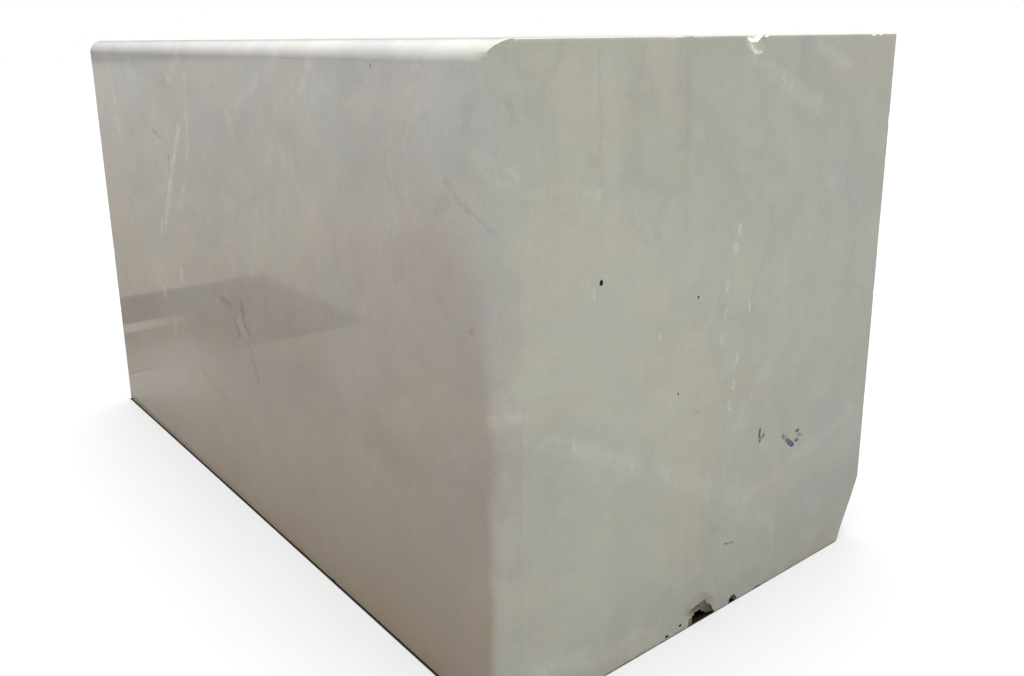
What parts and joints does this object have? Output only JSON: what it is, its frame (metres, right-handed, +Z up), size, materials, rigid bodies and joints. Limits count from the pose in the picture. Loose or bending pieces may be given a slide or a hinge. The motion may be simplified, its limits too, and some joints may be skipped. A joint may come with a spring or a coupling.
{
  "type": "marble block",
  "caption": "Squared quarry block of pale marble with one long polished face, a wide rounded top and near upright edge, sawn sides and a broken lower corner.",
  "frame": {"origin": "centre of the underside that the block rests on", "axes": "+X along the block's length, towards the honed end face with the broken lower corner; +Y from the long polished face to the long sawn face; +Z up"},
  "size_m": [2.61, 1.38, 1.5],
  "materials": {
    "marble": "satin"
  },
  "bodies": {
    "root": {"marble_block": "marble"}
  },
  "joints": []
}
